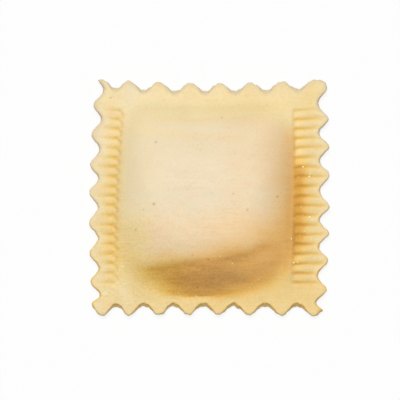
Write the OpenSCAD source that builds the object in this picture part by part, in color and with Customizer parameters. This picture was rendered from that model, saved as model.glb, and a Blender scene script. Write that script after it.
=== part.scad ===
// Raviolo: a stuffed square of fresh egg pasta, lying flat.
// Two sheets of dough are pressed together round a mound of filling. The press leaves a row of
// crimps down the left and right sides, and a fluted wheel cuts the square out.
// +Z is up, the front edge faces -Y, and the origin is on the table, under the middle of the square.
// All sizes are in millimetres.

/* [Cut outline] */
// Width between the middle lines of the left and right cuts
cut_w = 46.4; // [40:0.2:60]
// Length between the middle lines of the front and back cuts
cut_l = 47.4; // [40:0.2:60]
// Height of the left flutes, from the foot of a notch to a tip
left_flutes = 1.7; // [0.6:0.1:2.2]
// Height of the right flutes
right_flutes = 1.9; // [0.6:0.1:2.2]
// Height of the front flutes
front_flutes = 2; // [0.6:0.1:2.2]
// Height of the back flutes
back_flutes = 1.7; // [0.6:0.1:2.2]
// How far in from the cut the flutes still pull the dough
flute_reach = 3.4; // [3:0.1:5.5]
// Outward bow of the left side at its middle
left_bow = 0.9; // [-1:0.1:1]
// Outward bow of the right side at its middle
right_bow = 0.7; // [-1:0.1:1]
// Outward bow of the front side at its middle
front_bow = -0.1; // [-1:0.1:1]
// Outward bow of the back side at its middle
back_bow = -0.9; // [-1:0.1:1]
// How much further out the left side is at the back than at the front
left_skew = -0.6; // [-1:0.1:1]
// How much further out the right side is at the back than at the front
right_skew = 0.4; // [-1:0.1:1]
// How far the cut slants out below the notches of the left and right sides
side_slant = 0.2; // [0:0.05:0.6]
// How far the cut slants out below the notches of the front and back sides
end_slant = 0.6; // [0:0.05:0.8]

/* [Rim] */
// Thickness of the two sheets where they are pressed together
rim_t = 2; // [1.2:0.1:3]
// Flat rim between the left cut and the foot of the pillow
left_rim = 4.7; // [4:0.1:9]
// Flat rim between the right cut and the foot of the pillow
right_rim = 6.4; // [4:0.1:9]
// Flat rim between the front cut and the foot of the pillow, at the middle of the side
front_rim = 2.9; // [2.5:0.1:9]
// Flat rim between the back cut and the foot of the pillow
back_rim = 5; // [2.5:0.1:9]
// How far the cut edge curls up off the table
edge_lift = 0.5; // [0.1:0.1:1]
// Rounding of the top edge of the cut
edge_round = 0.35; // [0.1:0.05:0.5]

/* [Pillow] */
// Height of the whole raviolo above the table
pillow_h = 9.8; // [6:0.2:14]
// How much further out the foot of the left flank is at the front than at the back
left_lean = 1; // [0:0.1:2]
// How far the front foot draws back from its middle to near the corners
front_arch = 3.6; // [0:0.2:5]
// Slope of the pillow's left flank, in degrees
left_flank = 56; // [35:1:65]
// Slope of the pillow's right flank, in degrees
right_flank = 56; // [35:1:65]
// Slope of the pillow's front flank at its middle, in degrees
front_flank = 43; // [30:1:60]
// Slope of the pillow's back flank, in degrees
back_flank = 44; // [25:1:60]
// How much gentler the front flank is at its ends than at its middle, in degrees
front_ease = 12; // [0:1:20]
// Softness of the upright corners between the flanks
corner_soft = 8; // [2:0.2:10]
// Softness of the shoulder between the flanks and the top
shoulder_soft = 5; // [1:0.2:7]
// Softness of the foot, where the flanks run out on the rim
foot_soft = 1.1; // [0.3:0.1:1.6]
// How far the top falls away from its middle to its shoulder
top_crown = 0.9; // [0:0.1:2]
// Depth of the deepest fold in the stretched upper sheet
fold_depth = 0.42; // [0:0.02:0.6]

/* [Crimps] */
// Number of grooves in each row of crimps
crimps = 19; // [8:1:19]
// Distance from one groove to the next
crimp_pitch = 2.02; // [1.4:0.02:2.02]
// Depth of a groove below the ridges
crimp_depth = 0.34; // [0.1:0.02:0.8]
// Place of the middle groove, back from the middle of the square
crimp_shift = 0; // [-1:0.1:1]

/* [Hidden] */
dough = [0.93, 0.84, 0.66];

// Where the tips of the flutes fall along each side, as shares of its length from the left or from
// the front. The wheel was rolled by hand, so they are not quite even.
left_tips = [0.015, 0.125, 0.25, 0.385, 0.52, 0.64, 0.775, 0.905, 1.02];
right_tips = [-0.02, 0.09, 0.22, 0.34, 0.455, 0.595, 0.72, 0.84, 0.98];
front_tips = [0.035, 0.145, 0.28, 0.41, 0.545, 0.68, 0.825, 0.965];
back_tips = [0.015, 0.13, 0.265, 0.41, 0.54, 0.68, 0.82, 0.965];

// Sides of the square: tips, height and bite of the flutes, bow, skew, and slant of the cut below
// the notches. A bite slims the tips and widens the notches, and a bite below 0 does the opposite.
left_side = [left_tips, left_flutes, 0, left_bow, left_skew, side_slant];
right_side = [right_tips, right_flutes, 0.05, right_bow, right_skew, side_slant];
front_side = [front_tips, front_flutes, 0.06, front_bow, 0, end_slant];
back_side = [back_tips, back_flutes, -0.03, back_bow, 0, end_slant];

half_w = cut_w / 2;
half_l = cut_l / 2;

// The foot of the pillow, where each flank rises from the rim
foot_left = left_rim - half_w;
foot_right = half_w - right_rim;
foot_front = front_rim - half_l;
foot_back = half_l - back_rim;
foot_mid = [(foot_left + foot_right) / 2, (foot_front + foot_back) / 2];
foot_size = [foot_right - foot_left, foot_back - foot_front];

// The front foot is furthest out at arch_mid, and has drawn back by front_arch at arch_reach from it
arch_mid = -2;
arch_reach = 16;

// The dough is drawn tight over the middle of the front and right feet, which makes them crisper
crisp_share = 0.8;
crisp_front = -2.5;
crisp_right = 2;
crisp_reach = 8.5;
crisp_rise = 10;

// The folds of the stretched sheet: each one's ends, its half width, and its share of fold_depth
folds = [
    [[-14.5, foot_front + 4.4], [2, foot_front + 7.6], 1, 1],
    [[0, foot_front + 5.8], [14.5, foot_front + 12], 1, 0.9],
    [[-16.5, foot_front + 3.9], [9.5, foot_front + 3.2], 1.1, 1],
    [[-14, foot_back - 2.3], [13, foot_back - 1.7], 0.8, 0.33],
    [[-15.5, foot_back - 4.5], [8, foot_back - 6.5], 1.1, 0.38]
];
fold_end = 5;

// The underside is drawn belly_sink lower than the table, and the table then cuts it flat
belly_sink = 0.3;
lift_reach = 7;

// Each row of crimps reaches half a pitch past its last grooves. The press bites in over
// crimp_start, with round fingertips on the left, and its grooves run out at the cut.
crimp_front = crimp_shift - crimps * crimp_pitch / 2;
crimp_back = crimp_shift + crimps * crimp_pitch / 2;
crimp_start = 0.5;
crimp_fade = 1.6;
fingertip = 0.4;

// On the left and on the right: how far the ridges dip at the foot, and how far out the grooves
// have lost most of their depth
ridge_dip = [0.9, 1.6];
groove_reach = [3.4, 6.5];
groove_loss = 0.8;

function clamp(v) = min(max(v, 0), 1);
function ease(v) = let (c = clamp(v)) c * c * (3 - 2 * c);
function bell(v) = exp(-v * v);
function join(lists) = [for (list = lists) for (item = list) item];
function steps(from, to, n) = [for (i = [0 : n - 1]) from + (to - from) * i / n];

// The lesser of two values, rounded where they differ by less than a width
function soft_min(p, q, width) = min(p, q) - pow(max(width - abs(p - q), 0), 2) / (4 * width);

// Place of tip i, with one more tip past each end of the side, as far off as the last two are apart
function tip_place(tips, i) =
    let (last = len(tips) - 1)
    i < 0 ? 2 * tips[0] - tips[1] : i > last ? 2 * tips[last] - tips[last - 1] : tips[i];

// The fluted wave at share s of a side: 1 at a tip and -1 in a notch
function flute(s, tips, bite) =
    let (turn = 360 * lookup(s, [for (i = [-1 : len(tips)]) [tip_place(tips, i), i]]))
    cos(turn) - bite * (1 - cos(2 * turn));

// How far the flutes move the cut out at share s of a side. The upper edge is cut deeper into the
// notches than the lower one by the slant.
function flutes_out(s, side, upper) =
    let (wave = flute(s, side[0], side[2]))
    side[1] / 2 * wave - upper * side[5] * (1 - wave) / 2;

// How far a side moves a point out: its bow and skew in full at the cut and not at all at the
// opposite side, and its flutes only within flute_reach of the cut
function moved(s, across, size, side, upper) =
    let (line = side[3] * (1 - pow(2 * s - 1, 2)) + side[4] * (s - 0.5))
    line * across + flutes_out(s, side, upper) * ease(1 - (1 - across) * size / flute_reach);

// The place of a point of the plain rectangle once its four sides have pulled it into shape
function place(a, b, upper) =
    let (s = (b + half_l) / cut_l, t = (a + half_w) / cut_w)
    [
        a + moved(s, t, cut_w, right_side, upper) - moved(s, 1 - t, cut_w, left_side, upper),
        b + moved(t, s, cut_l, back_side, upper) - moved(t, 1 - s, cut_l, front_side, upper)
    ];

// The foot of the left flank leans
function left_foot(b) = foot_left + left_lean * b / cut_l;

// Height of the pillow above the rim: four sloping flanks and a crowned top, run into each other,
// and run out softly on the rim
function pillow(a, b) =
    let (
        sides = min(tan(left_flank) * (a - left_foot(b)), tan(right_flank) * (foot_right - a)),
        front_foot = foot_front + front_arch * pow((a - arch_mid) / arch_reach, 2),
        front = tan(front_flank - front_ease * pow(a / half_w, 2)) * (b - front_foot),
        ends = min(front, tan(back_flank) * (foot_back - b)),
        off = [2 * (a - foot_mid[0]) / foot_size[0], 2 * (b - foot_mid[1]) / foot_size[1]],
        top = pillow_h - rim_t - top_crown * (off * off) / 2,
        rise = soft_min(soft_min(sides, ends, corner_soft), top, shoulder_soft),
        at_front = bell((a - crisp_front) / crisp_reach) * ease(-b / crisp_rise),
        at_right = bell((b - crisp_right) / crisp_reach) * ease(a / crisp_rise),
        soft = foot_soft * (1 - crisp_share * max(at_front, at_right))
    )
    soft * ln(1 + exp(rise / soft));

// Depth of one fold: a trough along its line, faded out at both ends, whose section is a bell curve
// twice as wide on the front side as on the back
function fold(a, b, shape) =
    let (
        run = norm(shape[1] - shape[0]),
        way = (shape[1] - shape[0]) / run,
        off = [a, b] - shape[0],
        along = off * way,
        side = off[1] * way[0] - off[0] * way[1],
        width = shape[2] * (side > 0 ? 1 : 2)
    )
    fold_depth * shape[3] * bell(side / width) * ease(along / fold_end) * ease((run - along) / fold_end);

// The grooves across the crimps: 1 in the middle of each and 0 on the rounded ridges between
function crimp_wave(b) = pow((1 + cos(360 * (b - crimp_shift) / crimp_pitch)) / 2, 1.6);

// Where the press has worked: 1 in its two bands, outside the left and right feet, and 0 elsewhere
function crimped(a, b) =
    let (
        run = ease((crimp_back - crimp_front - 2 * abs(b - crimp_shift)) * 0.6 / crimp_pitch),
        tips = fingertip * (1 - crimp_wave(b))
    )
    run * ease(max(left_foot(b) - a + tips, a - foot_right) / crimp_start);

// Depth of the crimps. The ridges dip at the foot, and the grooves are deepest there.
function crimp(a, b) =
    let (
        row = a < 0 ? 0 : 1,
        from_foot = max(left_foot(b) - a, a - foot_right),
        ridge = (1 - crimp_wave(b)) * ease((from_foot + fingertip) / ridge_dip[row]),
        fall = 1 - groove_loss * ease(from_foot / groove_reach[row]),
        outer = ease((half_w - abs(a)) / crimp_fade)
    )
    crimp_depth * crimped(a, b) * fall * outer * (1 - ridge);

// Rounding of the upper edge, at distance d in from the cut: a quarter circle
function round_off(d) = edge_round * (1 - sqrt(1 - pow(1 - clamp(d / edge_round), 2)));

// Height of the curled underside before the table cuts it
function underside(a, b) =
    let (lift = norm([for (d = [half_w - abs(a), half_l - abs(b)]) ease(1 - d / lift_reach)]))
    (edge_lift + belly_sink) * lift - belly_sink;

function upper_height(a, b) =
    let (creased = [for (shape = folds) fold(a, b, shape)] * [for (shape = folds) 1])
    rim_t + pillow(a, b) * (1 - crimped(a, b)) - crimp(a, b) - creased
        - round_off(min(half_w - abs(a), half_l - abs(b)));

function upper_point(a, b) = concat(place(a, b, 1), upper_height(a, b));
function lower_point(a, b) = concat(place(a, b, 0), underside(a, b));

// Columns run from left to right, closer at the cut for its rounded edge and at the feet, where the
// press bites in
bite_out = foot_left - left_lean / 2 - crimp_start;
bite_in = foot_left + left_lean / 2 + fingertip;
columns = join([
    [-half_w], steps(edge_round - half_w, bite_out, 4), steps(bite_out, bite_in, 5),
    steps(bite_in, foot_right, 40), steps(foot_right, foot_right + crimp_start, 2),
    steps(foot_right + crimp_start, half_w - edge_round, 6), [half_w - edge_round, half_w]
]);

// Rows run from front to back. On the rims there are four to a crimp. Over the pillow they are
// closer on the front flank, where the sheet is folded.
flank_back = foot_front + 12;
crimp_rows = join([
    [-half_l], steps(edge_round - half_l, crimp_front, 5),
    steps(crimp_front, crimp_back, 4 * crimps),
    steps(crimp_back, half_l - edge_round, 5), [half_l - edge_round, half_l]
]);
pillow_rows = join([
    [-half_l], steps(edge_round - half_l, foot_front, 4),
    steps(foot_front, flank_back, 20), steps(flank_back, foot_back, 18),
    steps(foot_back, half_l - edge_round, 5), [half_l - edge_round, half_l]
]);
fluted_rows = join([steps(-half_l, half_l, 64), [half_l]]);
belly_rows = join([
    steps(-half_l, lift_reach - half_l, 5),
    steps(lift_reach - half_l, half_l - lift_reach, 3),
    steps(half_l - lift_reach, half_l, 5), [half_l]
]);

// Which rows each column has, on the upper side and on the underside
function on_rim(a) = a <= bite_in || a >= foot_right;
function near_cut(a) = half_w - abs(a) < flute_reach;
upper_rows = [for (a = columns) on_rim(a) ? crimp_rows : pillow_rows];
lower_rows = [for (a = columns) near_cut(a) ? fluted_rows : belly_rows];

// Adds up the lengths of the rows before each column
function starts(rows, from) =
    [for (i = 0, at = from; i < len(rows); at = at + len(rows[i]), i = i + 1) at];
upper_starts = starts(upper_rows, 0);
upper_total = len(join(upper_rows));
lower_starts = starts(lower_rows, upper_total);
last = len(columns) - 1;

// A strip of triangles between two columns of points, p and q, which need not have as many. Each
// column is [start, rows]. The next triangle takes its third point from whichever is further on.
function step_p(p, q, i, j) =
    j == len(q) - 1 ? 1 : i == len(p) - 1 ? 0 : p[i + 1] <= q[j + 1] ? 1 : 0;
function strip(p, q) =
    let (p_at = p[0], p_rows = p[1], q_at = q[0], q_rows = q[1])
    [
        for (
            i = 0, j = 0, up = step_p(p_rows, q_rows, 0, 0);
            i + j < len(p_rows) + len(q_rows) - 2;
            i = i + up, j = j + 1 - up,
            up = i + j < len(p_rows) + len(q_rows) - 2 ? step_p(p_rows, q_rows, i, j) : 0
        )
        up == 1 ? [p_at + i, p_at + i + 1, q_at + j] : [p_at + i, q_at + j + 1, q_at + j]
    ];

function upper(k) = [upper_starts[k], upper_rows[k]];
function lower(k) = [lower_starts[k], lower_rows[k]];
function first_of(column) = column[0];
function last_of(column) = column[0] + len(column[1]) - 1;

module raviolo() {
    points = concat(
        [for (k = [0 : last]) for (b = upper_rows[k]) upper_point(columns[k], b)],
        [for (k = [0 : last]) for (b = lower_rows[k]) lower_point(columns[k], b)]
    );
    top = [for (k = [0 : last - 1]) each strip(upper(k), upper(k + 1))];
    bottom = [for (k = [0 : last - 1]) for (f = strip(lower(k), lower(k + 1))) [f[2], f[1], f[0]]];
    front = [for (k = [0 : last - 1])
        [first_of(upper(k)), first_of(upper(k + 1)), first_of(lower(k + 1)), first_of(lower(k))]];
    back = [for (k = [0 : last - 1])
        [last_of(lower(k)), last_of(lower(k + 1)), last_of(upper(k + 1)), last_of(upper(k))]];
    left = strip(lower(0), upper(0));
    right = strip(upper(last), lower(last));

    x = [for (p = points) p[0]];
    y = [for (p = points) p[1]];
    color(dough)
        translate([-(min(x) + max(x)) / 2, -(min(y) + max(y)) / 2, 0])
            difference() {
                polyhedron(points, concat(top, bottom, front, back, left, right));
                translate([-cut_w, -cut_l, -rim_t]) cube([2 * cut_w, 2 * cut_l, rim_t]);
            }
}

raviolo();
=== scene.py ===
import math
import bpy
import numpy as np
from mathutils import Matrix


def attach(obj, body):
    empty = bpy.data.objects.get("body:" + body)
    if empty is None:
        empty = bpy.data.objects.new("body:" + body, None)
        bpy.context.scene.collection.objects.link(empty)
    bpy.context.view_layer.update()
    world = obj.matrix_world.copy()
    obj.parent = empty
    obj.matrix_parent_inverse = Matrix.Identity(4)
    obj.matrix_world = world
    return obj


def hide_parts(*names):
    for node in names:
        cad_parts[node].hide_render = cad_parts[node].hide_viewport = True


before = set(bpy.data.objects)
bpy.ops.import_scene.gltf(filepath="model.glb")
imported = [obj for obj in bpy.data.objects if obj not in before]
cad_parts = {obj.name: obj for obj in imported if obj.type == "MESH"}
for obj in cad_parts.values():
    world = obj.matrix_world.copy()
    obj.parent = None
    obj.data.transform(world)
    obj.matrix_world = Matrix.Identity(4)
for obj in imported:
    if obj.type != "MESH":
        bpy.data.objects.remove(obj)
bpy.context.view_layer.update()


# The raviolo. Two sheets of fresh egg dough are laid over and under a mound of filling and pressed
# together round it. The press leaves a row of crimps down the left and right rims, and a fluted
# wheel, rolled by hand, cuts the square out. Its sizes are in millimetres, as its maker gives them.
MILLIMETRE = 0.001

# The plain square that the wheel follows, and how far in from it the flutes still bend the dough.
# A point of it is (a, b), with a to the right and b to the back of its middle.
CUT_W, CUT_L = 46.4, 47.4
HALF_W, HALF_L = CUT_W / 2, CUT_L / 2
FLUTE_REACH = 3.4

# The rim: its thickness, the radius of the cut's upper edge, how high the underside curls up at the
# cut and from how far in, and how much of that curl its weight presses flat.
RIM_T, EDGE_ROUND = 2.0, 0.35
EDGE_LIFT, LIFT_REACH, BELLY_SINK = 0.5, 7.0, 0.3

# The pillow: its height, how far its top falls away to the feet, and over what height or width its
# corners, shoulder and foot are rounded.
PILLOW_H, TOP_CROWN = 9.8, 0.9
CORNER_SOFT, SHOULDER_SOFT, FOOT_SOFT = 8.0, 5.0, 1.1

# Where the pillow's feet lie, how far the left one leans out to the front, and how far the front
# one bows in to its ends, from which middle and over what reach.
FOOT_LEFT, FOOT_RIGHT = 4.7 - HALF_W, HALF_W - 6.4
FOOT_FRONT, FOOT_BACK = 2.9 - HALF_L, HALF_L - 5.0
LEFT_LEAN = 1.0
FRONT_BOW, BOW_MIDDLE, BOW_REACH = 3.6, -2.0, 16.0

# The angles of the pillow's flanks, and by how much the front one eases off to its ends.
LEFT_FLANK, RIGHT_FLANK, FRONT_FLANK, BACK_FLANK = 56, 56, 43, 44
FRONT_EASE = 12

# The crisp stretches of the front and right feet: their middles, their reach, from how far to the
# front or right of the pillow's middle they are full, and what share of the softness they take away.
CRISP_FRONT, CRISP_RIGHT = -2.5, 2.0
CRISP_REACH, CRISP_FULL, CRISP_SHARE = 8.5, 10.0, 0.8

# The crimps of a row: how many, how far apart and how deep, how sharp their ridges are, how far they
# waver and over what length, and over what length each row begins and ends.
CRIMPS, CRIMP_PITCH, CRIMP_DEPTH, CRIMP_SHARP = 19, 2.02, 0.34, 1.6
CRIMP_WAVER, CRIMP_WAVER_L = 0.06, 6.0
CRIMP_RUN_END = CRIMP_PITCH / 1.2

# Where the press works, for the left and the right row: how far in from the foot it starts and over
# what width its push grows. It flattens a share of the pillow there, and its ridges reach in on the
# left by the length of a fingertip.
PRESS_START, PRESS_WIDTH = (0.3, 0.2), (1.1, 1.0)
PRESS_SHARE, FINGERTIP = 0.6, 0.4

# How the crimps change across each row: the ridges rise from just inside the foot, the grooves lose
# a share of their depth, and both run out before the cut.
RIDGE_START, RIDGE_WIDTH = 0.4, (0.9, 1.6)
GROOVE_LOSS, GROOVE_WIDTH = 0.8, (3.4, 6.5)
CRIMP_FADE = 1.6

# The uneven dough: how high its hills are, how long, and the seed of each set of them.
HILLS = ((0.05, 9, 1), (0.02, 3, 2))

# Each side of the cut: where its flutes' tips fall as shares of its length, how high and how
# pointed they are, the side's bow and skew, and how far in the cut's upper edge and how far out
# its lower edge lie at the notches.
SIDES = {
    "left": ([0.015, 0.125, 0.25, 0.385, 0.52, 0.64, 0.775, 0.905, 1.02], 1.7, 0, 0.9, -0.6, 0.2, 0),
    "right": ([-0.02, 0.09, 0.22, 0.34, 0.455, 0.595, 0.72, 0.84, 0.98], 1.9, 0.05, 0.7, 0.4, 0.2, 0),
    "front": ([0.035, 0.145, 0.28, 0.41, 0.545, 0.68, 0.825, 0.965], 2.0, 0.06, -0.1, 0, 0.4, 0.18),
    "back": ([0.015, 0.13, 0.265, 0.41, 0.54, 0.68, 0.82, 0.965], 1.7, -0.03, -0.9, 0, 0.6, 0.1),
}

# The folds of the stretched sheet: where each begins and ends, its half width and depth, and how
# much painted shade it lays on the dough. They fade out over an end's length, the painted dark stripe
# in each has a share of its width, and they waver a little over a length.
FOLDS = (
    ((-16.0, -15.7), (2.5, -14.0), 1.0, 0.42, 0.47),
    ((-1.5, -14.4), (15.0, -10.0), 1.2, 0.34, 0.62),
    ((-15.0, -17.0), (11.5, -17.8), 1.1, 0.42, 0.22),
    ((-14.0, 16.4), (13.0, 17.0), 0.8, 0.14, 0.05),
    ((-15.5, 14.2), (8.0, 12.2), 1.1, 0.16, 0.09),
)
FOLD_END, STRIPE_WIDTH = 5.0, 0.6
FOLD_WAVER, FOLD_WAVER_L = 0.25, 9.0


def ease(v):
    """Rises smoothly from 0 to 1 as v goes from 0 to 1: three v squared less two v cubed."""
    c = np.clip(v, 0, 1)
    return c * c * (3 - 2 * c)


def rise(v, start, end):
    """Rises as ease does from 0 to 1 as v goes from start to end, which may be the lesser one."""
    return ease((v - start) / (end - start))


def fade(off, reach):
    """A bell curve: e to the power of minus the square of off over reach."""
    return np.exp(-(off / reach) ** 2)


def by_side(a, values):
    """The first of two values where a point is left of the middle, and the second where it isn't."""
    return np.where(a < 0, *values)


def ripple(x, y, size, seed):
    """Soft random hills between about -1 and 1: the sum of sixteen sine waves over the root of their
    number, each with its own random direction and phase, and with a length near size."""
    rng = np.random.default_rng(seed)
    waves = rng.uniform((0, 0, 0.7), (math.pi, 2 * math.pi, 1.4), (16, 3))
    total = np.zeros(np.broadcast(x, y).shape)
    for turn, phase, flank_shade in waves:
        along = x * math.cos(turn) + y * math.sin(turn)
        total += np.sin(2 * math.pi * along / (size * flank_shade) + phase)
    return total / len(waves) ** 0.5


def soft_min(first, second, width):
    """The lesser of two values, rounded where they differ by less than a width: less the square of
    what the difference falls short of it, over four widths."""
    short = np.maximum(width - np.abs(first - second), 0)
    return np.minimum(first, second) - short ** 2 / (4 * width)


def flute(s, tips, bite):
    """The fluted wave at share s of a side: the cosine of the turns counted from tip to tip, less a
    bite of its second harmonic, which slims the tips and widens the notches."""
    tips = [2 * tips[0] - tips[1], *tips, 2 * tips[-1] - tips[-2]]
    turn = 2 * math.pi * np.interp(s, tips, range(len(tips)))
    return np.cos(turn) - bite * (1 - np.cos(2 * turn))


def place(a, b, upper, out=0.0):
    """Where a point (a, b) of the plain square goes, at the height of the cut's upper edge where
    upper is 1 and of its lower edge where it is 0. The square is stretched between its four sides,
    each moved by a parabola for its bow and a slope for its skew. The fluted wave of each side,
    moved out by out, fades with the distance in from it. At the notches the cut leans, with its
    upper edge further in and its lower edge further out."""
    s, t = (b + HALF_L) / CUT_L, (a + HALF_W) / CUT_W
    moved = {}
    for side, along, across, width in (
        ("left", s, 1 - t, CUT_W), ("right", s, t, CUT_W),
        ("front", t, 1 - s, CUT_L), ("back", t, s, CUT_L),
    ):
        tips, high, bite, bow, skew, lean_in, lean_out = SIDES[side]
        wave = flute(along, tips, bite)
        line = bow * (1 - (2 * along - 1) ** 2) + skew * (along - 0.5)
        lean = lean_out - upper * (lean_in + lean_out)
        cut = high / 2 * wave + lean * (1 - wave) / 2 + out
        moved[side] = line * across + cut * rise((1 - across) * width, FLUTE_REACH, 0)
    return a + moved["right"] - moved["left"], b + moved["back"] - moved["front"]


def from_cut(a, b):
    """How far in a point lies from the nearest side of the plain square."""
    return np.minimum(HALF_W - np.abs(a), HALF_L - np.abs(b))


def left_foot(b):
    """The foot of the left flank, which leans outwards to the front."""
    return FOOT_LEFT + LEFT_LEAN * b / CUT_L


def past_foot(a, b):
    """How far out a point lies past the left or right foot, and less than 0 between them."""
    return np.maximum(left_foot(b) - a, a - FOOT_RIGHT)


def pillow(a, b):
    """Height of the pillow above the rim: the soft least of four sloping flanks and of a top that
    falls away from its middle as a paraboloid. The front flank eases off to both its ends. The foot
    runs out softly as a logarithm of one plus an exponential, and crisply in the middle of the
    front and right sides."""
    front_angle = FRONT_FLANK - FRONT_EASE * (a / HALF_W) ** 2
    front_foot = FOOT_FRONT + FRONT_BOW * ((a - BOW_MIDDLE) / BOW_REACH) ** 2
    sides = np.minimum(math.tan(math.radians(LEFT_FLANK)) * (a - left_foot(b)),
                       math.tan(math.radians(RIGHT_FLANK)) * (FOOT_RIGHT - a))
    ends = np.minimum(np.tan(np.radians(front_angle)) * (b - front_foot),
                      math.tan(math.radians(BACK_FLANK)) * (FOOT_BACK - b))
    off_a = (2 * a - FOOT_LEFT - FOOT_RIGHT) / (FOOT_RIGHT - FOOT_LEFT)
    off_b = (2 * b - FOOT_FRONT - FOOT_BACK) / (FOOT_BACK - FOOT_FRONT)
    dome = PILLOW_H - RIM_T - TOP_CROWN * (off_a ** 2 + off_b ** 2) / 2
    height = soft_min(soft_min(sides, ends, CORNER_SOFT), dome, SHOULDER_SOFT)
    crisp = np.maximum(fade(a - CRISP_FRONT, CRISP_REACH) * ease(-b / CRISP_FULL),
                       fade(b - CRISP_RIGHT, CRISP_REACH) * ease(a / CRISP_FULL))
    soft = FOOT_SOFT * (1 - CRISP_SHARE * crisp)
    return soft * np.log(1 + np.exp(height / soft))


def folds(a, b, stripes=False):
    """How deep the folds are or, as stripes, how much painted shade darkens the dough in them. Each runs
    along its own line, a little wavy and faded out at both ends, and its section is a bell curve, twice
    as wide on the front side as on the back."""
    total = 0
    for (a_0, b_0), (a_1, b_1), width, depth, tint in FOLDS:
        run = math.hypot(a_1 - a_0, b_1 - b_0)
        along = ((a - a_0) * (a_1 - a_0) + (b - b_0) * (b_1 - b_0)) / run
        off = ((b - b_0) * (a_1 - a_0) - (a - a_0) * (b_1 - b_0)) / run
        off = off + FOLD_WAVER * ripple(a, b, FOLD_WAVER_L, 4)
        ends = ease(along / FOLD_END) * ease((run - along) / FOLD_END)
        wide = width * np.where(off > 0, 1, 2) * (STRIPE_WIDTH if stripes else 1)
        total = total + (tint if stripes else depth) * fade(off, wide) * ends
    return total


def crimp_run(b):
    """1 over the length on which the press works, softly begun and ended."""
    half_run = CRIMPS * CRIMP_PITCH / 2
    return rise(np.abs(b), half_run, half_run - CRIMP_RUN_END)


def crimp_wave(a, b):
    """The grooves across the crimps: 1 in the middle of each and 0 on the ridges between, a power of
    a raised cosine, and a little wavy."""
    turn = 2 * math.pi * (b + CRIMP_WAVER * ripple(a, b, CRIMP_WAVER_L, 3)) / CRIMP_PITCH
    return (0.5 + 0.5 * np.cos(turn)) ** CRIMP_SHARP


def crimped(a, b):
    """Where the press has worked: 1 in its two bands past the left and right feet, else 0. On the
    left the ridges reach further in, as round fingertips."""
    fingertip = by_side(a, (FINGERTIP * (1 - crimp_wave(a, b)), 0))
    pushed = past_foot(a, b) + fingertip + by_side(a, PRESS_START)
    return crimp_run(b) * ease(pushed / by_side(a, PRESS_WIDTH))


def within_cut(a):
    """Falls from 1 to 0 over the last stretch of the crimps before the cut."""
    return ease((HALF_W - np.abs(a)) / CRIMP_FADE)


def groove(a, b):
    """Depth of the crimps as a share. They are deepest at the pillow's foot, where the ridges dip
    too, and fade out across the rim, sooner on the left."""
    past = past_foot(a, b)
    ridge = (1 - crimp_wave(a, b)) * ease((past + RIDGE_START) / by_side(a, RIDGE_WIDTH))
    fall = 1 - GROOVE_LOSS * ease(past / by_side(a, GROOVE_WIDTH))
    return crimped(a, b) * fall * within_cut(a) * (1 - ridge)


def upper_height(a, b):
    """Height of the upper side: rim, pillow and uneven dough, less the folds, the grooves and the
    quarter circle that rounds the cut's upper edge. The press flattens the pillow's foot."""
    past_round = np.clip(EDGE_ROUND - from_cut(a, b), 0, EDGE_ROUND)
    rounding = EDGE_ROUND - np.sqrt(EDGE_ROUND ** 2 - past_round ** 2)
    uneven = sum(height * ripple(a, b, length, seed) for height, length, seed in HILLS)
    pressed = pillow(a, b) * (1 - PRESS_SHARE * crimped(a, b)) - CRIMP_DEPTH * groove(a, b)
    return RIM_T + pressed + uneven - folds(a, b) - rounding


def underside(a, b):
    """Height of the underside: flat on the table, and curling up to the cut on each side."""
    lift = np.hypot(ease(1 - (HALF_W - np.abs(a)) / LIFT_REACH),
                    ease(1 - (HALF_L - np.abs(b)) / LIFT_REACH))
    return np.maximum(0, (EDGE_LIFT + BELLY_SINK) * lift - BELLY_SINK)


# The dough's colour. Where it was rolled or pressed thin it is gold; beside the pillow's feet, in the
# grooves and on the front notches gold also carries painted shade, and on the flanks that face away
# from the lamp peach carries it. Painted grey shade dulls the rim, the back flank, the ridges and the
# cut edge, and a little painted light brightens the left flank. Each of these is a share between 0
# and 1, put together from the shares of the places where it shows.

# The height above the rim at which the pillow's flanks end and its top begins, and how far from the
# raviolo's middle, to the front and to the back, the tints of its ends are full.
FLANK_H, END_FULL = 5.0, 20.0

# Patches of the skin: the middle, the reach and the share of each. The rim has some of deeper gold.
# The gold is deeper at the pillow's front left corner, painted grey shade dulls the dough beside its
# front right one, and painted shade deepens it in a hollow at the front end of the right flank and in
# a spot on the top beside it.
RIM_PATCHES = (
    ((-22, 21), (3, 3.5), 0.09), ((22, 21), (3, 3.5), 0.09),
    ((17.5, -18), (5, 3.2), 0.1), ((4, 19.4), (9, 1.5), 0.06),
)
DEEP_GOLD_CORNER = ((-17.5, -11), (4.5, 5), 0.17)
SHADED_CORNER = ((17, -17), (2, 3), 0.2)
HOLLOW = ((16, -14), (1.8, 3), 0.22)
TOP_SPOT = ((10.3, -8.3), (3.5, 1.6), 0.13)

# Specks of bran in the dough: the place and radius of each one that stands out. Of the faint ones,
# the least and the largest of both, their number and their strength. The bran colour also lays
# painted shade in the folds, as a share of their painted darkness.
SPECKS = (
    (-10.9, 11.3, 0.24), (2.4, 17.0, 0.18), (-11.0, -1.8, 0.28), (13.6, -0.1, 0.30), (0.0, -13.3, 0.26),
    (-2.2, -18.9, 0.26), (4.8, 0.4, 0.16), (-20.7, 20.8, 0.2), (-14.6, -7.1, 0.2), (-13.1, -3.0, 0.18),
    (7.6, -3.0, 0.16),
)
FAINT_LEAST, FAINT_MOST, FAINT_COUNT, FAINT_SHARE = (-22, -22, 0.10), (22, 22, 0.22), 150, 0.28
FOLD_SHADE_BROWN = 0.18


def joined(*shares):
    """Shares laid over each other: each takes its part of the paleness that the others leave, so
    the whole is one less the product of what each leaves."""
    left = 1
    for share in shares:
        left = left * (1 - share)
    return 1 - left


def patch(a, b, middle, reach, share):
    """A round patch: its share times a bell curve of the distance from its middle both ways."""
    return share * fade(a - middle[0], reach[0]) * fade(b - middle[1], reach[1])


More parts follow.
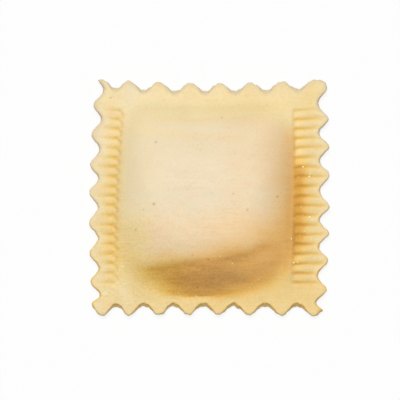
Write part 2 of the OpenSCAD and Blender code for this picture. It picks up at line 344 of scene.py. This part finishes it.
def falls(a, b):
    """How steeply the pillow falls to the front and to the right: the difference of its heights at
    two points near each other, over their distance."""
    step = 0.1
    to_front = (pillow(a, b + step) - pillow(a, b - step)) / (2 * step)
    to_right = (pillow(a - step, b) - pillow(a + step, b)) / (2 * step)
    return to_front, to_right


def flanks(a, b):
    """How far a point is part of the front flank and of the right one: the fall to that side, less
    the fall at which the flank begins, over what more it takes to be full, eased. The front flank
    begins at a lesser fall on the right, and the right flank is full at a lesser fall in front."""
    to_front, to_right = falls(a, b)
    on_left, on_right, in_front = ease(-a / 6), ease(a / 4), ease(-b / 10)
    front_begins = (0.15 + 0.09 * on_left) * ease(pillow(a, b) / 4) - 0.05 * on_right
    front_takes, right_begins, right_takes = 0.6, 0.3, 1.1 - 0.45 * in_front
    return (ease((to_front - front_begins) / front_takes),
            ease((to_right - right_begins) / right_takes))


def low(a, b):
    """1 on the rim, falling to 0 where the pillow's flanks end."""
    return 1 - ease(pillow(a, b) / FLANK_H)


def top(a, b):
    """1 on the pillow's top, falling to 0 on the front and right flanks and on the rim."""
    return (1 - low(a, b)) * (1 - np.maximum(*flanks(a, b)))


def beside_right_foot(b):
    """1 along the right foot, softly begun and ended."""
    return rise(b, 16, 12) * rise(b, -18, -10)


def notched(a):
    """Where the front side's notches are: its plain wave turned over and eased, so 1 in the middle of
    each and 0 at the tips between."""
    return ease(0.75 - 0.6 * flute((a + HALF_W) / CUT_W, SIDES["front"][0], 0))


def cut_edge(a, b):
    """1 along the cut, fading inwards as a bell curve, which is wider at the back."""
    return fade(from_cut(a, b), 0.3 + 0.35 * ease(b / 10))


def crimp_ends(b):
    """1 at the last crimps of a row and 0 in its middle."""
    return rise(np.abs(b + 1.5), 6, 14)


def trough(a, b):
    """The grooves where their painted shade shows: a little behind their middles, on the side which the
    light leaves darker, and narrower on the right."""
    behind, narrower = 0.25, 0.5 * ease(a)
    return crimp_wave(a, b - behind) ** (1 + narrower) * within_cut(a)


def painted_flank_shade(a, b):
    """Painted shade, warm and deep, on the sides that face away from the lamp. The front flank takes the
    most, deepest left of its middle, then the right flank with a band along its foot and a hollow at its
    front end, then the front and right parts of the top, and the painted shade of the folds."""
    front_flank, right_flank = flanks(a, b)
    off_left_end, to_right_end = rise(a, -15.8, -4.3), rise(a, -1, 12)
    left_corner = rise(a, -6, -13) * rise(b, -14, -18)
    near_foot = rise(pillow(a, b), 2.24, 0.64)
    front = front_flank * (0.36 + 0.53 * off_left_end) * (1 - 0.18 * to_right_end)
    front = front * (1 - 0.5 * left_corner) * (1 - 0.2 * near_foot)

    band = rise(a - FOOT_RIGHT, -3.6, -0.8) * rise(a - FOOT_RIGHT, 1, 0.2) * beside_right_foot(b)
    band = band * (0.36 + 0.34 * rise(b, 4, -10))
    right = np.maximum(right_flank * (0.34 + 0.18 * rise(b, 1, -7)), band)

    front_part, right_part = rise(b, -1, -6.5), ease(a / 6)
    back_right = rise(a, 7, 12) * ease(b / 10)
    top_front = (0.13 + 0.08 * rise(a, -6, 4)) * front_part * top(a, b) + patch(a, b, *TOP_SPOT)
    top_right = 0.1 * (right_part + back_right) * top(a, b)
    stripes = folds(a, b, stripes=True)
    return joined(front, right, patch(a, b, *HOLLOW), top_front, top_right, stripes)


def rim_gold(a, b):
    """The gold of the thin rim, deeper to the right and to the front and in a few patches, and paler
    beside the left foot and down the outer border of both sides."""
    front_corners = rise(HALF_L + b, 6.7, 2.7)
    border = rise(HALF_W - np.abs(a), 2.7, 0.7) * (1 - 0.6 * front_corners)
    beside_left_foot = fade(a - FOOT_LEFT - 1.5, 2.2)
    front_middle = fade(a + 2, 9) * ease(-b / END_FULL)
    slant = 0.045 * a / HALF_W - 0.06 * b / HALF_L + 0.045 * front_middle
    patches = sum(patch(a, b, *row) for row in RIM_PATCHES)
    return low(a, b) * (0.2 - 0.1 * border - 0.06 * beside_left_foot + slant + patches)


def painted_foot_shade(a, b):
    """Painted shade in gold beside the left and right feet, where the pillow shades the rim. On the left
    it is faint, with a thin line on the foot itself, and on the right it is deep, most in the middle of
    the row."""
    past = np.maximum(past_foot(a, b), 0)
    line = 0.12 * fade(a - left_foot(b) - 0.3, 0.7) * crimp_run(b)
    left = (0.2 - 0.1 * crimp_ends(b)) * fade(past - 1, 1.6) * crimped(a, b) + line
    middle = rise(b, 9.8, 4.8) * rise(b, -15, -8)
    band = rise(a - FOOT_RIGHT, -0.3, 0.6) * rise(past, 4.2, 0.9) * crimp_run(b)
    right = 0.88 * (0.06 + 0.94 * middle) * band
    return by_side(a, (left, right))


def groove_gold_and_shade(a, b):
    """The gold of the grooves, with painted shade that is deepest next to the foot. It is weaker in the
    last crimps of the left row, most at its front end, and in those at the back of the right row."""
    past = np.maximum(past_foot(a, b), 0)
    row_ends = (0.5 - 0.3 * ease(b / 9)) * crimp_ends(b)
    row_back = rise(b, 3, 8)
    left = (0.05 + 0.38 * fade(past, 2.2)) * (1 - row_ends)
    right = (0.44 + 0.24 * fade(past, 3)) * (1 - 0.35 * row_back)
    return crimped(a, b) * by_side(a, (left, right)) * trough(a, b)


def gold_and_painted_shade(a, b):
    """The gold of the dough: that of the thin rim and grooves, painted shade beside the feet and in the
    grooves, a little painted light on the left flank, and deeper gold at the pillow's front left corner,
    paling again at the back cut."""
    # Painted light: the left flank a touch brighter and more golden, as the lamp falls on it.
    to_left = -falls(a, b)[1]
    painted_left_light = 0.035 * ease(to_left / 0.5)
    corner = patch(a, b, *DEEP_GOLD_CORNER)
    share = joined(rim_gold(a, b), painted_left_light, painted_foot_shade(a, b), groove_gold_and_shade(a, b), corner)
    return share * (1 - 0.6 * cut_edge(a, b) * ease(b / END_FULL))


def depth_and_peach(a, b):
    """How deep the dough's colour is, and how much of that is the peach of the flanks' painted shade
    rather than gold. The depth joins both with painted shade on the edge of the front notches. Peach
    takes over where the flanks' painted shade outweighs the gold, on the pillow and on the band along
    its right foot more than on the rim, and to the left only on the top."""
    flank_shade, gold_with_shade = painted_flank_shade(a, b), gold_and_painted_shade(a, b)
    notch_edge_shade = 0.6 * cut_edge(a, b) * ease(-b / END_FULL) * notched(a)
    outweighs = ease(1.6 * flank_shade / (flank_shade + gold_with_shade + 0.01)) * rise(a - FOOT_RIGHT, 0.9, 0)
    band = rise(a - FOOT_RIGHT, -4.8, -2.8) * beside_right_foot(b)
    on_pillow = np.maximum(ease(pillow(a, b) / 2.5), band)
    left_top = top(a, b) * rise(a, -15, -9) * (1 - 0.7 * rise(b, 5, 11))
    peach = outweighs * (0.3 + 0.7 * on_pillow) * np.maximum(rise(a, -11, 0), left_top)
    return joined(flank_shade, gold_with_shade, notch_edge_shade), peach


def painted_dulling(a, b):
    """How far painted grey shade dulls the dough: the flat rim, a patch beside the pillow's front right
    corner, the back flank, the ridges between the grooves, a stretch beside the back of the right foot,
    and the edge of the cut, except in the front notches."""
    to_front, to_right = falls(a, b)
    flat = 1 - ease(np.hypot(to_front, to_right) / 0.3)
    rim = 0.14 * low(a, b) * flat * (1 - 0.7 * ease(b / END_FULL)) * (1 - painted_foot_shade(a, b))

    back_flank, back_corner = ease(-to_front / 0.4) * ease(b / 8), rise(a, 9, 14) * low(a, b)
    back = 0.34 * back_flank * (0.5 + 0.5 * low(a, b)) * (1 - 0.6 * back_corner)

    past = np.maximum(past_foot(a, b), 0)
    outer_ridges = rise(past, 1.4, 3.4) * rise(past, 6, 4) * (1 - trough(a, b))
    by_foot_at_back = rise(b, 3, 9) * rise(b, 15, 11) * rise(past, 1.8, 0)
    left = 0.32 * fade(past, 3.4) * (1 - 0.5 * trough(a, b)) * (1 - 0.6 * crimp_ends(b))
    ridges = crimped(a, b) * by_side(a, (left, 0.2 * (outer_ridges + by_foot_at_back)))

    front_notches = ease(-b / END_FULL) * notched(a)
    cut = (0.16 + 0.3 * ease(b / END_FULL) - 0.16 * front_notches) * cut_edge(a, b)
    return rim + patch(a, b, *SHADED_CORNER) + back + ridges + cut


def coarseness(a, b):
    """How coarse the dough's grain looks: most at the front left, and a third as much all along the
    front and on the right flank."""
    front_left = rise(a, 3, -6) * rise(b, 2, -6)
    front, right_flank = rise(b, -6, -12), flanks(a, b)[1]
    return front_left + 0.35 * np.maximum(front, right_flank)


def specks_and_fold_shade(a, b):
    """Where bran shows: a bell curve of the distance, along the slope too, round each named speck and
    round many faint ones; its colour also lays a little painted shade in the folds."""
    high = pillow(a, b)
    faint = np.random.default_rng(8).uniform(FAINT_LEAST, FAINT_MOST, (FAINT_COUNT, 3))
    share = 0
    for strength, specks in ((1, SPECKS), (FAINT_SHARE, faint)):
        for x, y, radius in specks:
            off = np.sqrt((a - x) ** 2 + (b - y) ** 2 + (high - pillow(x, y)) ** 2)
            share = np.maximum(share, strength * fade(off, radius))
    return share + FOLD_SHADE_BROWN * folds(a, b, stripes=True)


# The skin of the raviolo: the steps of its grid across and along, how many rows of points round the
# cut's upper edge and go down its wall, and how far in from the cut the loops under the belly lie.
STEP_ACROSS, STEP_ALONG = 0.2, 0.16
ROUND_ROWS, WALL_ROWS = 6, 8
BELLY_LOOPS = (0.3, 0.8, 1.5, 2.5, 3.5, 4.5, 6, 7, 10, 15, 20)

# The cut: how far the wheel tore it all round and how much further at the front and back, the
# length of a tear, how deep the seam of the sheets is and over what share of the wall, and how far
# the wall swells.
TEAR, END_TEAR, TEAR_L = 0.045, 0.065, 1.2
SEAM_DEPTH, SEAM_SHARE, WALL_SWELL = 0.12, 0.1, 0.08


def spread(half, step):
    """Places from -half to half: close together at both ends, for the rounded edge, and else a step
    apart."""
    edge = half - EDGE_ROUND * (1 - np.cos(np.linspace(0, math.pi / 2, ROUND_ROWS)))
    inner = np.linspace(-edge[-1], edge[-1], round(2 * edge[-1] / step))
    return np.concatenate((-edge[:-1], inner, edge[-2::-1]))


def ragged(a, b):
    """How far the wheel tore the cut in and out: most on the front and back sides."""
    return (TEAR + END_TEAR * rise(np.abs(b), HALF_L - 2, HALF_L)) * ripple(a, b, TEAR_L, 5)


def skin_loops(a, b, top_z):
    """Loops of points from the border (a, b) of the upper side, whose heights are top_z: down the
    wall of the cut, which swells between the sheets' edges and sinks in at their seam, and then in
    under the belly."""
    loops = []
    for share in np.arange(1, WALL_ROWS + 1) / WALL_ROWS:
        seam = SEAM_DEPTH * fade(share - 0.5, SEAM_SHARE)
        swell = WALL_SWELL * math.sin(math.pi * share)
        x, y = place(a, b, 1 - share, swell - seam + ragged(a, b))
        loops.append(np.stack((x, y, top_z + (underside(a, b) - top_z) * share), -1))
    for inward in BELLY_LOOPS:
        keep = 1 - inward / HALF_W
        x, y = place(a * keep, b * keep, 0)
        loops.append(np.stack((x, y, underside(a * keep, b * keep)), -1))
    return loops


def raviolo_mesh():
    """A closed skin: a grid of points over the upper side, whose border is the first of a run of
    loops that go down the cut wall and in under the belly to a point in its middle. Each point
    keeps its tints."""
    a, b = np.meshgrid(spread(HALF_W, STEP_ACROSS), spread(HALF_L, STEP_ALONG), indexing="ij")
    x, y = place(a, b, 1, ragged(a, b))
    upper_side = np.stack((x, y, upper_height(a, b)), -1).reshape(-1, 3)
    grid = np.arange(a.size).reshape(a.shape)
    faces = [np.stack((grid[:-1, :-1], grid[1:, :-1], grid[1:, 1:], grid[:-1, 1:]), -1).reshape(-1, 4)]

    border = np.concatenate((grid[:-1, 0], grid[-1, :-1], grid[:0:-1, -1], grid[0, :0:-1]))
    edge_a, edge_b = a.ravel()[border], b.ravel()[border]
    loops = skin_loops(edge_a, edge_b, upper_side[border, 2])
    count = len(border)
    rings = [border] + [a.size + count * k + np.arange(count) for k in range(len(loops))]
    for upper, lower in zip(rings, rings[1:]):
        faces.append(np.stack((lower, np.roll(lower, -1), np.roll(upper, -1), upper), -1))
    centre = np.full(count, a.size + count * len(loops))
    fan = np.stack((centre, np.roll(rings[-1], -1), rings[-1]), -1)

    points = np.concatenate([upper_side] + loops + [np.zeros((1, 3))])
    points[:, :2] -= (points.min(0) + points.max(0))[:2] / 2
    mesh = bpy.data.meshes.new("raviolo_dough")
    mesh.from_pydata((points * MILLIMETRE).tolist(), [], np.concatenate(faces).tolist() + fan.tolist())
    mesh.polygons.foreach_set("use_smooth", np.ones(len(mesh.polygons), bool))

    # Each tint has its values on the upper side, down the wall and under the belly. The wall has painted
    # shade: gold in the front notches, most under its upper edge, and grey, paler, at the back.
    depth, peach = depth_and_peach(a, b)
    down = np.arange(1, WALL_ROWS + 1)[:, None] / WALL_ROWS
    notch_wall_shade = ease(-edge_b / HALF_L) * notched(edge_a)
    pale = ease(edge_b / HALF_L)
    wall_depth = 0.3 + (0.3 - 0.5 * down) * notch_wall_shade - 0.3 * pale
    wall_dull_shade = 0.27 - 0.25 * notch_wall_shade + 0.27 * pale
    wall = np.concatenate(rings[1:WALL_ROWS + 1]).reshape(WALL_ROWS, count)
    for name, on_top, on_wall, under in (
        ("depth", depth, wall_depth, 0.2),
        ("peach", peach, 0.0, 0.0),
        ("crust", painted_dulling(a, b), wall_dull_shade, 0.15),
        ("bran", specks_and_fold_shade(a, b), 0.0, 0.0),
        ("coarse", coarseness(a, b), 1.0, 0.3),
    ):
        value = np.full(len(points), under)
        value[:a.size] = on_top.ravel()
        value[wall] = on_wall
        mesh.attributes.new(name, "FLOAT", "POINT").data.foreach_set("value", value)
    return mesh


class Wire:
    """An output in a material's node tree. Arithmetic on wires and numbers adds Math nodes."""

    def __init__(self, tree, socket=None):
        self.tree, self.socket = tree, socket

    def node(self, kind, settings=None, sockets=None, output=0):
        """Adds a node of a kind, makes its settings, then sets or links its sockets."""
        made = self.tree.nodes.new("ShaderNode" + kind)
        for name, value in (settings or {}).items():
            if name == "stops":
                for at, colour in value[1:-1]:
                    made.color_ramp.elements.new(at)
                for stop, (at, colour) in zip(made.color_ramp.elements, value):
                    stop.position, stop.color = at, colour
            else:
                setattr(made, name, value)
        for name, value in (sockets or {}).items():
            if isinstance(value, Wire):
                self.tree.links.new(value.socket, made.inputs[name])
            else:
                made.inputs[name].default_value = value
        return Wire(self.tree, made.outputs[output]) if made.outputs else made

    def maths(self, operation, first, second):
        """A Math node on two wires or numbers."""
        return self.node("Math", {"operation": operation}, {0: first, 1: second})

    def __add__(self, other):
        return self.maths("ADD", self, other)

    def __radd__(self, other):
        return self.maths("ADD", other, self)

    def __sub__(self, other):
        return self.maths("SUBTRACT", self, other)

    def __rsub__(self, other):
        return self.maths("SUBTRACT", other, self)

    def __mul__(self, other):
        return self.maths("MULTIPLY", self, other)

    def __rmul__(self, other):
        return self.maths("MULTIPLY", other, self)


def shade(colour):
    """A colour given as a screen shows it, turned into the linear values that a material takes."""
    part = np.array(colour) / 255
    linear = np.where(part <= 0.04045, part / 12.92, ((part + 0.055) / 1.055) ** 2.4)
    return (*linear, 1)


def blend_colours(share, first, second):
    """Goes from the first colour to the second as share goes from 0 to 1."""
    return share.node("Mix", {"data_type": "RGBA"}, {0: share, 6: first, 7: second}, 2)


def empty_material(name):
    """A new material without nodes, and the wire from which its nodes start."""
    material = bpy.data.materials.new(name)
    material.use_nodes = True
    material.node_tree.nodes.clear()
    return material, Wire(material.node_tree)


# The texture of the dough, as so many patterns to the metre across, along and up: mottling, streaks
# from the rolling, fine grain, and fibres.
MOTTLE, GRAIN = 160.0, 2200.0
STREAKS, FIBRES = (100, 1000, 100), (450, 2400, 450)

# The colours of the dough as its depth goes from 0 to 1, in gold and in the peach of the painted
# flank shade, and those of its painted grey shade and of its bran, which also paints shade in the folds.
GOLD = (
    (0.0, (239, 221, 188)), (0.1, (244, 224, 176)), (0.2, (243, 218, 160)), (0.4, (242, 208, 128)),
    (0.6, (238, 194, 98)), (0.8, (223, 170, 74)), (1.0, (206, 151, 53)),
)
PEACH = (
    (0.0, (239, 221, 188)), (0.2, (243, 214, 170)), (0.4, (246, 207, 148)), (0.6, (244, 194, 117)),
    (0.78, (238, 183, 103)), (0.9, (222, 167, 92)), (1.0, (204, 148, 76)),
)
DULL_SHADE_COLOUR, BRAN_AND_SHADE_COLOUR = (205, 186, 142), (150, 108, 60)


def dough_material():
    """Fresh egg dough: cream, gold where it is thin, with painted shade in gold and peach on the flanks,
    feet and grooves, dulled by painted grey shade and flecked with bran. It is mottled, with a fine
    grain and with streaks and fibres from the rolling, and its skin is matt and faintly translucent."""
    material, start = empty_material("egg_dough")
    where = start.node("TexCoord", output="Object")
    depth, peach, crust, bran, coarse = (
        start.node("Attribute", {"attribute_name": name}, output="Fac")
        for name in ("depth", "peach", "crust", "bran", "coarse")
    )

    def noise(vector, scale, detail):
        """Noise about 0, of a scale and detail, over the places that a vector gives."""
        return start.node("TexNoise", {}, {"Vector": vector, "Scale": scale, "Detail": detail}) - 0.5

    def drawn_out(scale):
        """Places on the piece times a scale for each axis, which is least across the raviolo, the
        way the dough was rolled."""
        return start.node("VectorMath", {"operation": "MULTIPLY"}, {0: where, 1: scale})

    def ramp(share, stops):
        """The colour at a share between the stops."""
        stops = [(at, shade(colour)) for at, colour in stops]
        return start.node("ValToRGB", {"stops": stops}, {0: share})

    mottle = noise(where, MOTTLE, 2.0)
    streak = noise(drawn_out(STREAKS), 1.0, 4.0)
    grain = noise(where, GRAIN, 4.0)
    fibre = noise(drawn_out(FIBRES), 1.0, 3.0)
    texture = streak * (0.08 + depth * 0.16) + (fibre + grain) * (0.12 + coarse * 0.13)
    deep = depth + mottle * 0.08 + texture
    # Peach picks the colour of the painted flank shade, and the depth deepens with painted shade.
    colour = blend_colours(peach, ramp(deep, GOLD), ramp(deep, PEACH))
    # Painted grey shade dulls the colour.
    colour = blend_colours(crust + mottle * 0.15, colour, shade(DULL_SHADE_COLOUR))
    # Bran flecks it, and lays painted shade in the folds.
    colour = blend_colours(grain * 0.3 + streak * 0.1 + bran * 0.5, colour, shade(BRAN_AND_SHADE_COLOUR))
    height = grain * (0.5 + coarse) + streak + fibre * 0.5
    bump = start.node("Bump", {}, {"Height": height, "Distance": 0.1 * MILLIMETRE, "Strength": 0.5})
    skin = start.node("BsdfPrincipled", {}, {
        "Base Color": colour, "Roughness": 0.6 + mottle * 0.2, "Normal": bump,
        "Specular IOR Level": 0.3, "Subsurface Weight": 0.15, "Subsurface Scale": MILLIMETRE,
    })
    start.node("OutputMaterial", {}, {"Surface": skin})
    return material


raviolo = bpy.data.objects.new("raviolo_dough", raviolo_mesh())
bpy.context.collection.objects.link(raviolo)
raviolo.data.materials.append(dough_material())
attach(raviolo, "root")
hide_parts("raviolo")


# The semolina. A few grains of the coarse flour that the board was dusted with cling to the raviolo,
# most of them to the crimps on the right and to the front. The larger ones have their own places,
# and the fine ones are scattered over three stretches of the skin.
GRAINS = (
    (19.4, 6.4, 0.20), (20.7, 4.4, 0.22), (20.7, -4.1, 0.20), (21.3, -4.6, 0.18), (17.5, -13.6, 0.19),
    (18.3, -13.5, 0.15), (16.9, -8.6, 0.14), (-17.9, -14.3, 0.17), (-3.6, 2.8, 0.12), (2.3, -12.5, 0.13),
    (4.7, -13.9, 0.13), (-2.7, -20.5, 0.15),
)

# Each stretch: its front left corner and least radius, its back right corner and largest radius, and
# how many grains lie on it.
SCATTERED = (
    ((16.5, -16, 0.05), (22.5, 10, 0.09), 36),
    ((-16, -21, 0.05), (16, -12, 0.08), 20),
    ((-20, -18, 0.05), (-14, 0, 0.07), 10),
)

# How many points a grain has round its girdle. As shares of its radius, how far its top and foot lie
# from its middle, its middle from the skin, and the least and the most that a point is pulled to.
GIRDLE = 6
GRAIN_H, GRAIN_LIFT, GRAIN_PULL = 0.5, 0.3, (0.75, 1.2)


def grain_mesh(skin):
    """Grains with flat facets: each has a girdle of points round its middle and one point above and
    one below, all pulled a little out of shape, and stands on the nearest point of the skin beneath
    it, a little sunk in."""
    rng = np.random.default_rng(6)
    scattered = [rng.uniform(least, most, (count, 3)) for least, most, count in SCATTERED]
    spots = np.concatenate([GRAINS] + scattered)
    radius = spots[:, 2, None, None]
    gap = np.hypot(spots[:, :1] - skin[:, 0], spots[:, 1:2] - skin[:, 1])
    foot = skin[gap.argmin(1)]
    step = np.arange(GIRDLE)
    turn = 2 * math.pi * step / GIRDLE
    ball = np.concatenate((
        np.stack((np.cos(turn), np.sin(turn), 0 * turn), -1), ((0, 0, GRAIN_H), (0, 0, -GRAIN_H)),
    ))
    pulled = radius * rng.uniform(*GRAIN_PULL, (len(spots), len(ball), 1))
    points = foot[:, None] + ball * pulled + (0, 0, GRAIN_LIFT) * radius

    after = (step + 1) % GIRDLE
    above, below = np.full(GIRDLE, GIRDLE), np.full(GIRDLE, GIRDLE + 1)
    facets = np.concatenate((np.stack((step, after, above), -1), np.stack((after, step, below), -1)))
    faces = facets + len(ball) * np.arange(len(spots))[:, None, None]
    mesh = bpy.data.meshes.new("semolina")
    mesh.from_pydata((points.reshape(-1, 3) * MILLIMETRE).tolist(), [], faces.reshape(-1, 3).tolist())
    return mesh


def semolina_material():
    """Hard durum wheat: pale yellow, a little glassy, and not the same in every grain."""
    material, start = empty_material("semolina")
    where = start.node("TexCoord", output="Object")
    noise = start.node("TexNoise", {}, {"Vector": where, "Scale": 400.0, "Detail": 2.0})
    colour = blend_colours(noise, shade((255, 252, 222)), shade((255, 244, 185)))
    wheat = start.node("BsdfPrincipled", {}, {
        "Base Color": colour, "Roughness": 0.3 + noise * 0.2, "Specular IOR Level": 0.6,
    })
    start.node("OutputMaterial", {}, {"Surface": wheat})
    return material


skin = np.empty(len(raviolo.data.vertices) * 3)
raviolo.data.vertices.foreach_get("co", skin)
skin = skin.reshape(-1, 3) / MILLIMETRE
upper_skin = skin[skin[:, 2] > RIM_T / 2]
semolina = bpy.data.objects.new("semolina", grain_mesh(upper_skin))
bpy.context.collection.objects.link(semolina)
semolina.data.materials.append(semolina_material())
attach(semolina, "root")
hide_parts("raviolo")


# The table: a plain white surface that the raviolo lies on. The camera sees a share of it as pure
# white, and in the rest the raviolo's soft shadow. It is in metres, a hair below the raviolo.
TABLE_HALF, TABLE_TOP = 2.0, -0.02 * MILLIMETRE
TABLE_WHITE = 0.85
table_mesh = bpy.data.meshes.new("table")
corners = [(-TABLE_HALF, -TABLE_HALF, TABLE_TOP), (TABLE_HALF, -TABLE_HALF, TABLE_TOP),
           (TABLE_HALF, TABLE_HALF, TABLE_TOP), (-TABLE_HALF, TABLE_HALF, TABLE_TOP)]
table_mesh.from_pydata(corners, [], [(0, 1, 2, 3)])
table = bpy.data.objects.new("table", table_mesh)
bpy.context.collection.objects.link(table)
table_paint, start = empty_material("table_white")
matt = start.node("BsdfDiffuse", {}, {"Color": (0.9, 0.9, 0.9, 1)})
white = start.node("Emission", {}, {"Color": (1, 1, 1, 1), "Strength": 1.0})
seen = (start.node("LightPath", output="Is Camera Ray") + start.node("LightPath", output="Is Glossy Ray")
        + start.node("LightPath", output="Is Transmission Ray"))
paint = start.node("MixShader", {}, {0: seen * TABLE_WHITE, 1: matt, 2: white})
start.node("OutputMaterial", {}, {"Surface": paint})
table_mesh.materials.append(table_paint)


# The light: a soft lamp high behind the raviolo and a little to its left, and even light all round.
# Their shares add up to one, so that the colour of a level surface renders as it is written.
KEY_ELEVATION, KEY_AZIMUTH, KEY_SPREAD = math.radians(70), math.radians(12), math.radians(25)
KEY_SHARE = 0.7
sun = bpy.data.lights.new("key", "SUN")
sun.energy = math.pi * KEY_SHARE / math.sin(KEY_ELEVATION)
sun.angle = KEY_SPREAD
key = bpy.data.objects.new("key", sun)
key.rotation_euler = (-(math.pi / 2 - KEY_ELEVATION), 0, KEY_AZIMUTH)
bpy.context.collection.objects.link(key)
world = bpy.data.worlds.new("room")
bpy.context.scene.world = world
world.use_nodes = True
room = world.node_tree.nodes["Background"]
room.inputs["Color"].default_value = (1, 1, 1, 1)
room.inputs["Strength"].default_value = 1 - KEY_SHARE


# The camera looks almost straight down on the raviolo from a long way off, with its front edge
# nearest, and places it in the frame as the photograph does.
PIXEL, FRAME_PIXELS = 0.208 * MILLIMETRE, 400
OFF_CENTRE = (-9.5 * PIXEL, -2.0 * PIXEL)
DISTANCE, ELEVATION = 0.8, math.radians(86)
lens = bpy.data.cameras.new("camera")
lens.lens = lens.sensor_width * DISTANCE / (FRAME_PIXELS * PIXEL)
lens.clip_end = 10
camera = bpy.data.objects.new("camera", lens)
camera.location = (OFF_CENTRE[0], OFF_CENTRE[1] - DISTANCE * math.cos(ELEVATION),
                   DISTANCE * math.sin(ELEVATION))
camera.rotation_euler = (math.pi / 2 - ELEVATION, 0, 0)
bpy.context.collection.objects.link(camera)
bpy.context.scene.camera = camera
bpy.context.scene.view_settings.view_transform = "Standard"
